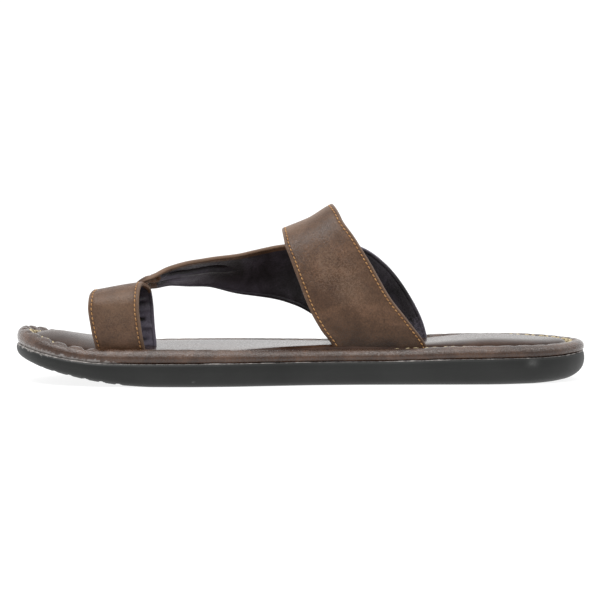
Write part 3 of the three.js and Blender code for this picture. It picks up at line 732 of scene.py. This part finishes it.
# The last's ridge and flanks along the sole, and the edges of the three straps on it: around is
# the way round the last from 0 at the big toe side to 1, across the share of the way over the
# footbed, rise a share of the loop's height, and step counts rows along a strap.
last_form = {
    "along": [.20, .24, .27, .33, .40, .47, .515, .56, .64, .74],
    "toe": [.949, .600, .350, .100, 0, 0, 0, 0, 0, 0],
    "instep": [0, .249, .432, .616, .730, .830, .895, 1, 1.10, 1.18],
    "crest": [.17, .22, .27, .35, .41, .43, .43, .43, .43, .43],
    "medial": [2.4] * 10,
    "lateral": [1.10, 1.15, 1.35, 1.75, 2.10, 2.40, 2.45, 2.50, 2.50, 2.50],
}
instep_edges = {
    "step": list(range(15)),
    "around": [0, .015, .05, .10, .165, .245, .345, .50, .655, .755, .835, .90, .95, .985, 1],
    "front": [.560, .555, .533, .513, .4975, .483, .471, .467, .472, .484, .500, .520, .541, .555,
              .560],
    "back": [.726, .716, .687, .652, .624, .596, .5705, .558, .564, .586, .614, .648, .681, .707,
             .718],
}
slanting_edges = {
    "step": list(range(14)),
    "upper_along": [.210, .237, .266, .302, .336, .375, .420, .469, .535, .604, .651, .691, .720,
                    .730],
    "upper_around": [.500, .552, .563, .574, .600, .622, .651, .680, .745, .792, .849, .914, .970,
                     1],
    "lower_along": [.220, .239, .268, .296, .332, .375, .420, .470, .500, .525, .545, .558, .566,
                    .570],
    "lower_around": [.600, .642, .684, .722, .758, .810, .853, .894, .918, .943, .966, .982, .993,
                     1],
}
loop_edges = {
    "step": list(range(11)),
    "front": [.149, .147, .139, .134, .135, .140, .148, .156, .164, .166, .166],
    "rear": [.233, .232, .226, .222, .223, .227, .238, .241, .243, .246, .246],
    "across": [0, 0, -.03, -.03, .03, .14, .26, .34, .375, .38, .38],
    "front_rise": [0, .16, .44, .70, .83, .875, .82, .65, .43, .16, 0],
    "rear_rise": [0, .16, .45, .74, .93, 1, .925, .75, .45, .16, 0],
}


def seat_line(column, along, inset):
    """Where a strap goes down inside the rim: the outline moved in square to itself."""
    step = 0.01
    change = side_of(column, along + step) - side_of(column, along - step)
    slope = change / (2 * step * sole_length)
    sign = 1 if column == "medial" else -1
    return side_of(column, along) + sign * inset * np.hypot(1, slope)


def across_bed(along, share):
    """A share of the way from the big toe side's seat line to the little toe side's."""
    near = seat_line("medial", along, seam_inset + strap_wall)
    far = seat_line("lateral", along, seam_inset + 2 * strap_wall - strap_bond)
    return near + (far - near) * share


def last_point(along, around):
    """A point on the last: cosine and sine of the way round, raised to two over the flank's
    fullness, run from the ridge out to the seat lines and up to the ridge."""
    turn = np.pi * np.clip(around, 0, 1)
    medial_flank = around < 0.5
    full = np.where(medial_flank, read(last_form, "along", "medial", along),
                    read(last_form, "along", "lateral", along))
    crest = read(last_form, "along", "crest", along)
    out = np.abs(np.cos(turn)) ** (2 / full)
    rise = np.maximum(np.sin(turn), 0) ** (2 / full)
    share = np.where(medial_flank, crest * (1 - out), crest + (1 - crest) * out)
    ridge = toe_loop_height * read(last_form, "along", "toe", along)
    ridge = ridge + instep_height * read(last_form, "along", "instep", along)
    height = sole_top(along) + clearance + rise * ridge
    return np.stack([x_of(along), across_bed(along, share), height], -1)


def down(table, column, u):
    """A column of a strap's table read at the share u of its rows."""
    return read(table, "step", column, u * table["step"][-1])


def between(table, low, high, u, v):
    """Two columns of a strap's table read at u, and the value at the share v between them."""
    start = down(table, low, u)
    return start + (down(table, high, u) - start) * v


def instep_surface(u, v):
    """The instep strap's inner face: round the last with u, from its front to its back edge."""
    around = down(instep_edges, "around", u)
    front = read(instep_edges, "around", "front", around)
    back = read(instep_edges, "around", "back", around)
    return last_point(front + (back - front) * v, around + 0 * v)


def slanting_surface(u, v):
    """The slanting strap's inner face: from the toe loop to the rim, from lower to upper edge."""
    return last_point(between(slanting_edges, "lower_along", "upper_along", u, v),
                      between(slanting_edges, "lower_around", "upper_around", u, v))


def loop_surface(u, v):
    """The toe loop's inner face: over the toe and down between the toes, from front to rear."""
    along = between(loop_edges, "front", "rear", u, v)
    rise = between(loop_edges, "front_rise", "rear_rise", u, v)
    share = down(loop_edges, "across", u) + 0 * v
    height = sole_top(along) + clearance + rise * toe_loop_height
    return np.stack([x_of(along), across_bed(along, share), height], -1)


def normal_of(surface, u, v):
    """The outward direction: the cross product of the changes with v and with u."""
    step = 0.004
    by_u = surface(np.minimum(u + step, 1), v) - surface(np.maximum(u - step, 0), v)
    by_v = surface(u, v + step) - surface(u, v - step)
    normal = np.cross(by_v, by_u)
    return normal / np.linalg.norm(normal, axis=-1, keepdims=True)


def strap_outline(lanes):
    """The closed section of a strap as four rows: share of the width, millimetres added to it,
    height from the inner face, and whether it is lining. It goes along the outside, round one
    turned edge, back along the lining, which lies in a step, and round the other edge."""
    marks = np.array([1.1, 1.5, 1.8, 2.1, 2.4, 2.8, 3.4, 4.2, 5.2])
    middle = np.linspace(0, 1, lanes)[1:-1]
    out_share = np.concatenate([0 * marks, middle, 0 * marks + 1])
    out_room = np.concatenate([marks, marks[-1] * (1 - 2 * middle), -marks[::-1]])
    bend = np.radians([60, 30, 0, -30, -60])
    bend_room = strap_wall / 2 * (np.cos(bend) - 1)
    bend_height = strap_wall / 2 * (1 + np.sin(bend))
    in_marks = np.array([1.1, 1.6, 1.75, 2.1, 3.2, 5.2])
    in_height = np.array([0, 0, .35, .22, .12, .08])
    in_share = np.concatenate([0 * in_marks + 1, middle[::-1], 0 * in_marks])
    in_room = np.concatenate([-in_marks, in_marks[-1] * (1 - 2 * middle[::-1]), in_marks[::-1]])
    in_height = np.concatenate([in_height, 0 * middle + .08, in_height[::-1]])
    lining = np.abs(in_room) > lining_start
    lining[len(in_marks):-len(in_marks)] = True
    return [
        np.concatenate([out_share, 0 * bend + 1, in_share, 0 * bend]),
        np.concatenate([out_room, bend_room, in_room, -bend_room]),
        np.concatenate([0 * out_share + strap_wall, bend_height, in_height, bend_height[::-1]]),
        np.concatenate([0 * out_share, 0 * bend, lining, 0 * bend]),
    ]


def folds(table, run, wide):
    """Soft creases, given one by one. Each goes from one spot to another, in millimetres along and
    across the strap, with a height, or a depth below nought, and a width; it is a bell across and
    dies away at both ends."""
    height = np.zeros(np.broadcast(run, wide).shape)
    for run_a, wide_a, run_b, wide_b, lift, width in table:
        way = np.array([run_b - run_a, wide_b - wide_a], float)
        length = np.hypot(*way)
        way /= length
        forward = (run - run_a) * way[0] + (wide - wide_a) * way[1]
        aside = (wide - wide_a) * way[0] - (run - run_a) * way[1]
        ends = smooth(0, 0.25 * length, forward) * smooth(length, 0.75 * length, forward)
        height += lift * np.exp(-(aside / width) ** 2) * ends
    return height


def spots(table, run, wide):
    """Bells, given one by one, each with its place along and across the strap, its reach both
    ways in millimetres and its height."""
    return sum(amount * np.exp(-((run - at) / long) ** 2 - ((wide - off) / broad) ** 2)
               for at, off, long, broad, amount in table)


def strap(name, surface, rows, lanes, lift, creases, lining_creases, dark, crinkles, scuffs_and_painted_light,
          gathered, materials):
    """A strap with its wall on the outer side of its surface, stitched troughs 2 mm inside its
    edges, a faint swell between them, and its creases. Its two edges are black, like the lining,
    beyond the shares of its run in dark. It is paler within 1.5 mm of its edges, and darker where
    its creases sink, as painted shade. It is wrinkled round the spots in crinkles, with painted
    glints on the wrinkles. Round the spots in scuffs it is made paler, for scuffing and as painted
    highlight and sheen, where a spot's height is above nought, and darker, as painted shade,
    where it is below. Where gathered(u, v, room) holds its outside is folded inwards, with room
    the millimetres from its upper or rear edge."""
    share, room, height, lining = strap_outline(lanes)
    u = np.linspace(0, 1, rows)[:, None]
    middle = surface(u, 0.5 + 0 * u)[:, 0]
    run = np.concatenate([[0], np.cumsum(np.linalg.norm(np.diff(middle, axis=0), axis=1))])[:, None]
    width = np.linalg.norm(surface(u, 1 + 0 * u) - surface(u, 0 * u), axis=-1)
    v = share + room / width
    grid_u = u + 0 * v
    wide = v * width
    from_edge = np.minimum(wide, width - wide)
    outer = height >= strap_wall
    trough = -trough_depth * np.exp(-((from_edge - stitch_inset) / trough_half) ** 2)
    trough += edge_roll * np.exp(-((from_edge - stitch_inset / 2) / trough_half) ** 2)
    swell = strap_swell * np.sin(np.pi * np.clip(v, 0, 1))
    inner_folds = np.where(lining > 0, folds(lining_creases, run, wide), 0.0)
    creased = folds(creases, run, wide) + inner_folds
    raised = height + np.where(outer, trough + swell, 0.0) + lift(u) + creased
    points = surface(grid_u, v) + normal_of(surface, grid_u, v) * raised[..., None]
    inside = (lining > 0) & (np.roll(lining, -1) > 0)
    turned = (height < strap_wall) | (np.roll(height, -1) < strap_wall)
    blacked = np.where(share > 0.5, u > dark[1], u > dark[0]) & turned
    kinds = ((inside | blacked) & ~gathered(u, v, width - wide))[:-1].astype(int).ravel()
    count = len(share)
    caps = [np.arange(count)[::-1], (rows - 1) * count + np.arange(count)]
    # Painted shade: where a crease sinks, the colour is darkened by its depth.
    sunk = np.abs(np.minimum(np.where(outer, 1, -1) * creased, 0))
    wear_and_painted_light = edge_paling * smooth(1.5, 0.3, from_edge) * (height > 0.2) + spots(scuffs_and_painted_light, run, wide)
    return make(name, points, band_quads(rows, count), materials, caps, kinds, {
        "wear_and_painted_light": np.clip(wear_and_painted_light - crease_painted_shade * sunk, -1, 1),
        "crinkle_and_painted_glint": np.clip(spots(crinkles, run, wide) + 0 * v, 0, 1)})


# The straps are burnished: satin brown clouded darker, paler along their edges, with painted
# highlights on the instep strap's crest, painted shade low down and in their creases, and painted
# glints on their wrinkles. Their lining is a black faux leather with a faint violet sheen, painted
# paler near the neck and inside the toe loop as painted sheen.
strap_leather = leather("burnished faux leather", ("#412d20", "#4d3727", "#5d4433"), 13, 0.8, 0.26,
                        0.40, 0.26, 0.08, 0.26, "#7d6654")
strap_lining = leather("black lining faux leather", ("#1e1b1d", "#2d292d", "#403b42"), 12, 0.9,
                       0.26, 0.36, 0.26, 0.14, 0.26, "#878090")
strap_materials = [strap_leather, strap_lining]


def instep_lift(u):
    """The instep strap lies on the last, and beyond its crest on the slanting strap."""
    return (strap_wall - strap_bond) * smooth(*crossing, down(instep_edges, "around", u))


def no_lift(u):
    """A strap that lies on the last all the way."""
    return 0 * u


def neck_lift(u):
    """The slanting strap starts sunk in the loop."""
    return -neck_sink * smooth(0.09, 0.0, u)


def plain(u, v, room):
    """Nowhere is the outside folded inwards."""
    return (u < 0) & (v < 0)


def neck_gather(u, v, room):
    """Brown at the neck, and in a turned-in band along the upper edge as far as the instep."""
    neck = u < neck_share + neck_slope * v
    return neck | ((room < turned_band) & (u < turned_end) & (v > 0.5))


# The toe loop, from the rim over the big toe and down between the toes.
loop_lining_creases = [
    (55, 4, 56, 24, -1.0, 0.9), (57, 2, 58, 22, 0.9, 0.8), (62, 5, 61, 24, -1.0, 1.1),
    (65, 3, 66, 20, 0.9, 0.9), (70, 6, 69, 24, -1.2, 1.2), (74, 2, 76, 20, 0.8, 1.0),
    (79, 8, 78, 22, -0.7, 1.0),
]
# Painted light on the toe loop: its lining is painted paler at 64 and 75 mm as a painted sheen, its
# brown outside is paler at 28 mm, and its wrinkles carry painted glints.
toe_loop = strap("toe_loop", loop_surface, 150, 20, no_lift, [], loop_lining_creases, (0.5, 0.62),
                 [(22, 12, 9, 12, 0.5), (70, 14, 14, 16, 0.5)],
                 [(28, 14, 10, 12, 0.22), (64, 17, 4, 9, 0.5), (75, 17, 7, 12, 1.0)], plain,
                 strap_materials)

# The slanting strap, which grows out of the loop in a twist of folds and widens to the rim.
neck_folds = [
    (-4, 7, 34, 16, 0.9, 0.8), (-4, 5, 36, 12, -0.8, 0.7), (-2, 3, 34, 8, 0.7, 0.8),
    (0, 2, 30, 4, -0.6, 0.7),
]
neck_lining_folds = [
    (12, 8, 70, 16, -1.0, 1.1), (14, 10, 66, 19, 0.9, 1.4), (20, 5, 44, 7, -0.3, 1.5),
    (-6, 3, 22, 8, 1.0, 0.6), (-6, 6, 24, 12, -0.8, 0.7), (-6, 8, 22, 15, 1.0, 0.6),
]
# Painted light on the slanting strap: painted sheen on its lining at 28 and 60 mm, painted shade
# near its foot at 140 mm, and painted glints on its wrinkles at 157 mm.
slanting_strap = strap("slanting_strap", slanting_surface, 220, 26, neck_lift, neck_folds,
                       neck_lining_folds, (0.10, 0.62), [(157, 41, 8, 12, 1.0)],
                       [(28, 6, 16, 6, 0.5), (60, 3, 20, 4, 0.2), (140, 38, 9, 14, -0.6),
                        (157, 41, 5, 9, 0.15)], neck_gather, strap_materials)

# The wide instep strap, from the big toe side over the instep and over the slanting strap.
instep_creases = [
    (46, 6, 66, 14, -0.20, 1.6), (44, 12, 62, 24, 0.18, 1.8), (50, 20, 68, 28, -0.18, 1.6),
    (40, 18, 54, 30, 0.16, 2.0), (36, 8, 48, 20, -0.14, 1.8),
]
instep_crinkles = [(56, 10, 12, 10, 1.0), (49, 20, 12, 11, 0.9), (34, 24, 12, 12, 0.35)]
# Painted light on the instep strap: painted highlights on its crest at 84 and 90 mm, painted glints
# among its wrinkles at 40 and 57 mm, painted shade near its foot at 5 and 20 mm and along its front
# edge at 60 mm, and darker at 70 mm.
instep_wear_and_painted_light = [
    (84, 5, 10, 8, 0.5), (70, 18, 6, 8, -0.35), (57, 12, 7, 6, 0.2), (40, 22, 8, 8, 0.2),
    (60, 4, 16, 5, -0.5), (20, 10, 8, 10, -0.5), (5, 22, 10, 24, -1.0), (90, 21, 8, 9, 0.9),
]
instep_strap = strap("instep_strap", instep_surface, 240, 30, instep_lift, instep_creases, [],
                     (0.5, 0.5), instep_crinkles, instep_wear_and_painted_light, plain, strap_materials)
for piece in (toe_loop, slanting_strap, instep_strap):
    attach(piece, "root")
    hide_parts("upper")


# The straps' stitching: orange-tan bonded thread, 2 mm inside each edge, a stitch every 2.3 mm.
strap_stitch_pitch = 2.3
strap_stitch_length = 1.8
strap_thread_radius = 0.30
seam_samples = 700
thread_sink = 0.10
thread_slant = 0.18
way_probe = 0.4
lowest_stitch = 5.5
# One stitch is a bead of rings: how far along each lies, how thick and how high it is.
bead_reach = np.array([-1, -0.82, -0.4, 0.4, 0.82, 1]) * strap_stitch_length / 2
bead_girth = np.array([0.25, 0.8, 1, 1, 0.8, 0.25]) * strap_thread_radius
bead_sink = np.array([-0.35, -0.12, 0.06, 0.06, -0.12, -0.35])
ring_sides = 6
bead_points = len(bead_reach) * ring_sides
# Bonded polyester: smooth and a little glossy, orange-tan in flecks of 1.1 mm.
seam_thread, tree, shader = finish_of("bonded polyester thread")
coords = add(tree, "ShaderNodeTexCoord").outputs["Object"]
fibres = add(tree, "ShaderNodeTexNoise", {"Vector": coords, "Scale": 900.0, "Detail": 2.0})
tone = add(tree, "ShaderNodeValToRGB", {"Fac": fibres.outputs["Fac"]},
           stops=[(0.3, "#85592f"), (0.7, "#bf925c")])
tree.links.new(tone.outputs["Color"], shader.inputs["Base Color"])
shader.inputs["Roughness"].default_value = 0.5


def stitches(surface, lift, start):
    """Stitches along both edges of a strap, from start millimetres along it. Each is a short
    six-sided bead, thin and sunk at its ends, laid a little aslant on the seam."""
    u = np.linspace(0, 1, seam_samples)[:, None]
    width = np.linalg.norm(surface(u, 1 + 0 * u) - surface(u, 0 * u), axis=-1)
    beads = []
    for side in (0, 1):
        v = side + (1 - 2 * side) * stitch_inset / width
        normal = normal_of(surface, u, v)[:, 0]
        line = surface(u, v)[:, 0] + normal * (strap_wall + lift(u) - thread_sink)
        run = np.concatenate([[0], np.cumsum(np.linalg.norm(np.diff(line, axis=0), axis=1))])
        places = np.arange(start, run[-1], strap_stitch_pitch)
        centre, up, ahead = (
            np.stack([np.interp(places + step, run, part[:, i]) for i in range(3)], -1)
            for part, step in ((line, 0), (normal, 0), (line, way_probe)))
        keep = centre[:, 2] - sole_top(along_of(centre[:, 0])) > lowest_stitch
        way = ahead - centre
        way /= np.maximum(np.linalg.norm(way, axis=1, keepdims=True), 1e-9)
        way = way + thread_slant * np.cross(up, way)
        way /= np.linalg.norm(way, axis=1, keepdims=True)
        across = np.cross(up, way)
        angle = 2 * np.pi * np.arange(ring_sides) / ring_sides
        high = bead_sink[:, None] + bead_girth[:, None] * np.sin(angle)
        aside = bead_girth[:, None] * np.cos(angle)
        bead = (centre[keep, None, None] + way[keep, None, None] * bead_reach[:, None, None]
                + up[keep, None, None] * high[..., None]
                + across[keep, None, None] * aside[..., None])
        beads.append(bead.reshape(-1, bead_points, 3))
    return np.concatenate(beads)


bead_quads = band_quads(len(bead_reach), ring_sides)
bead_end = np.arange(ring_sides)
for name, surface, lift, start in (("toe_loop_stitching", loop_surface, no_lift, 1.2),
                                   ("slanting_strap_stitching", slanting_surface, no_lift, 10.0),
                                   ("instep_strap_stitching", instep_surface, instep_lift, 1.2)):
    beads = stitches(surface, lift, start)
    first = bead_points * np.arange(len(beads))[:, None, None]
    last_ring = first[:, 0] + bead_points - ring_sides
    caps = np.concatenate([first[:, 0] + bead_end[::-1], last_ring + bead_end])
    thread = make(name, beads, (first + bead_quads).reshape(-1, 4), [seam_thread], caps)
    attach(thread, "root")


# The floor: a large light table of white acrylic, lit from below, so hardly a shadow shows. It is
# matte, with faint clouds 330 mm wide.
floor_half = 8000.0
floor_finish, tree, shader = finish_of("lit white acrylic")
coords = add(tree, "ShaderNodeTexCoord").outputs["Object"]
clouds = add(tree, "ShaderNodeTexNoise", {"Vector": coords, "Scale": 3.0, "Detail": 3.0})
tone = add(tree, "ShaderNodeValToRGB", {"Fac": clouds.outputs["Fac"]},
           stops=[(0.3, "#7f7f7f"), (0.7, "#858585")])
tree.links.new(tone.outputs["Color"], shader.inputs["Base Color"])
shader.inputs["Roughness"].default_value = 0.9
shader.inputs["Specular IOR Level"].default_value = 0.1
shader.inputs["Emission Color"].default_value = (1.0, 1.0, 1.0, 1.0)
shader.inputs["Emission Strength"].default_value = 0.87
floor_corners = np.array([[-1, -1, 0], [1, -1, 0], [1, 1, 0], [-1, 1, 0]]) * floor_half
floor = make("floor", floor_corners, np.array([[0, 1, 2, 3]]), [floor_finish])


# The light: a white room, brightest overhead and dim behind the camera, and one soft lamp overhead,
# a little to the front and to the toe.
world = bpy.data.worlds.new("white studio")
world.use_nodes = True
tree = world.node_tree
coords = add(tree, "ShaderNodeTexCoord").outputs["Generated"]
way = add(tree, "ShaderNodeSeparateXYZ", {0: coords})
wall = add(tree, "ShaderNodeMapRange",
           {"Value": way.outputs["Y"], "From Min": -0.8, "From Max": 0.6, "To Min": 0.28,
            "To Max": 1.08}, interpolation_type="SMOOTHSTEP")
overhead = add(tree, "ShaderNodeMapRange",
               {"Value": way.outputs["Z"], "From Min": 0.25, "From Max": 0.85},
               interpolation_type="SMOOTHSTEP")
power = add(tree, "ShaderNodeMix",
            {0: overhead.outputs["Result"], 2: wall.outputs["Result"], 3: 1.3})
tree.links.new(power.outputs[0], tree.nodes["Background"].inputs["Strength"])
tree.nodes["Background"].inputs["Color"].default_value = (1.0, 1.0, 1.0, 1.0)
bpy.context.scene.world = world
bpy.context.scene.view_settings.view_transform = "Standard"


def soft_lamp(name, spot, target, size, power):
    """A square lamp at a spot, turned to its target."""
    data = bpy.data.lights.new(name, "AREA")
    data.size = size
    data.energy = power
    lamp = bpy.data.objects.new(name, data)
    lamp.location = spot
    lamp.rotation_euler = (Vector(target) - Vector(spot)).to_track_quat("-Z", "Y").to_euler()
    bpy.context.scene.collection.objects.link(lamp)


soft_lamp("top_softbox", (-0.33, -0.46, 1.02), (0, 0, 0.03), 0.45, 9.0)
